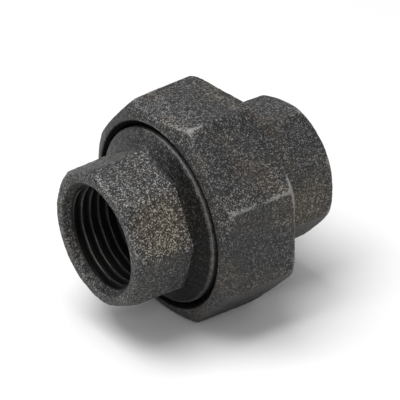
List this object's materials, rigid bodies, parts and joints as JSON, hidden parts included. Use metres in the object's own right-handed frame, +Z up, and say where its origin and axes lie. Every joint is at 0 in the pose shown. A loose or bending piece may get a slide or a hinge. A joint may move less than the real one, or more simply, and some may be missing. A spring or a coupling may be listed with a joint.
{
  "type": "pipe union",
  "caption": "Female threaded pipe union of black cast iron: two octagonal ends drawn together by an octagonal nut onto a ground seat.",
  "frame": {"origin": "middle of the whole union on the pipe axis, when the nut is tight", "axes": "+X along the pipe axis towards the head end, which carries the outside thread; +Z up, away from the nut flat that the union stands on; +Y across"},
  "size_m": [0.0442, 0.0406, 0.0406],
  "materials": {
    "head_end_iron": "black oxide scale on a sand-cast skin, fine light grain",
    "seat_brass": "turned and ground, satin",
    "tail_end_iron": "black oxide scale on a sand-cast skin, smoother collar, ground nose",
    "union_nut_iron": "black oxide scale on a sand-cast skin, edges worn lighter"
  },
  "bodies": {
    "head": {"head_end": "head_end_iron", "brass_seat_ring": "seat_brass"},
    "tail": {"tail_end": "tail_end_iron"},
    "nut": {"union_nut": "union_nut_iron"}
  },
  "joints": [
    {"name": "tail_slide", "type": "slide", "parent": "head", "child": "tail", "axis": [-1, 0, 0], "range_m": [0, 0.0094]},
    {"name": "nut_turn", "type": "hinge", "parent": "tail", "child": "nut", "pos_m": [0, 0, 0], "axis": [-1, 0, 0], "range_deg": [0, 1466]}
  ],
  "couplings": [
    {"joint": "nut_turn", "follows": "tail_slide", "rad_per_m": 2721.2}
  ]
}
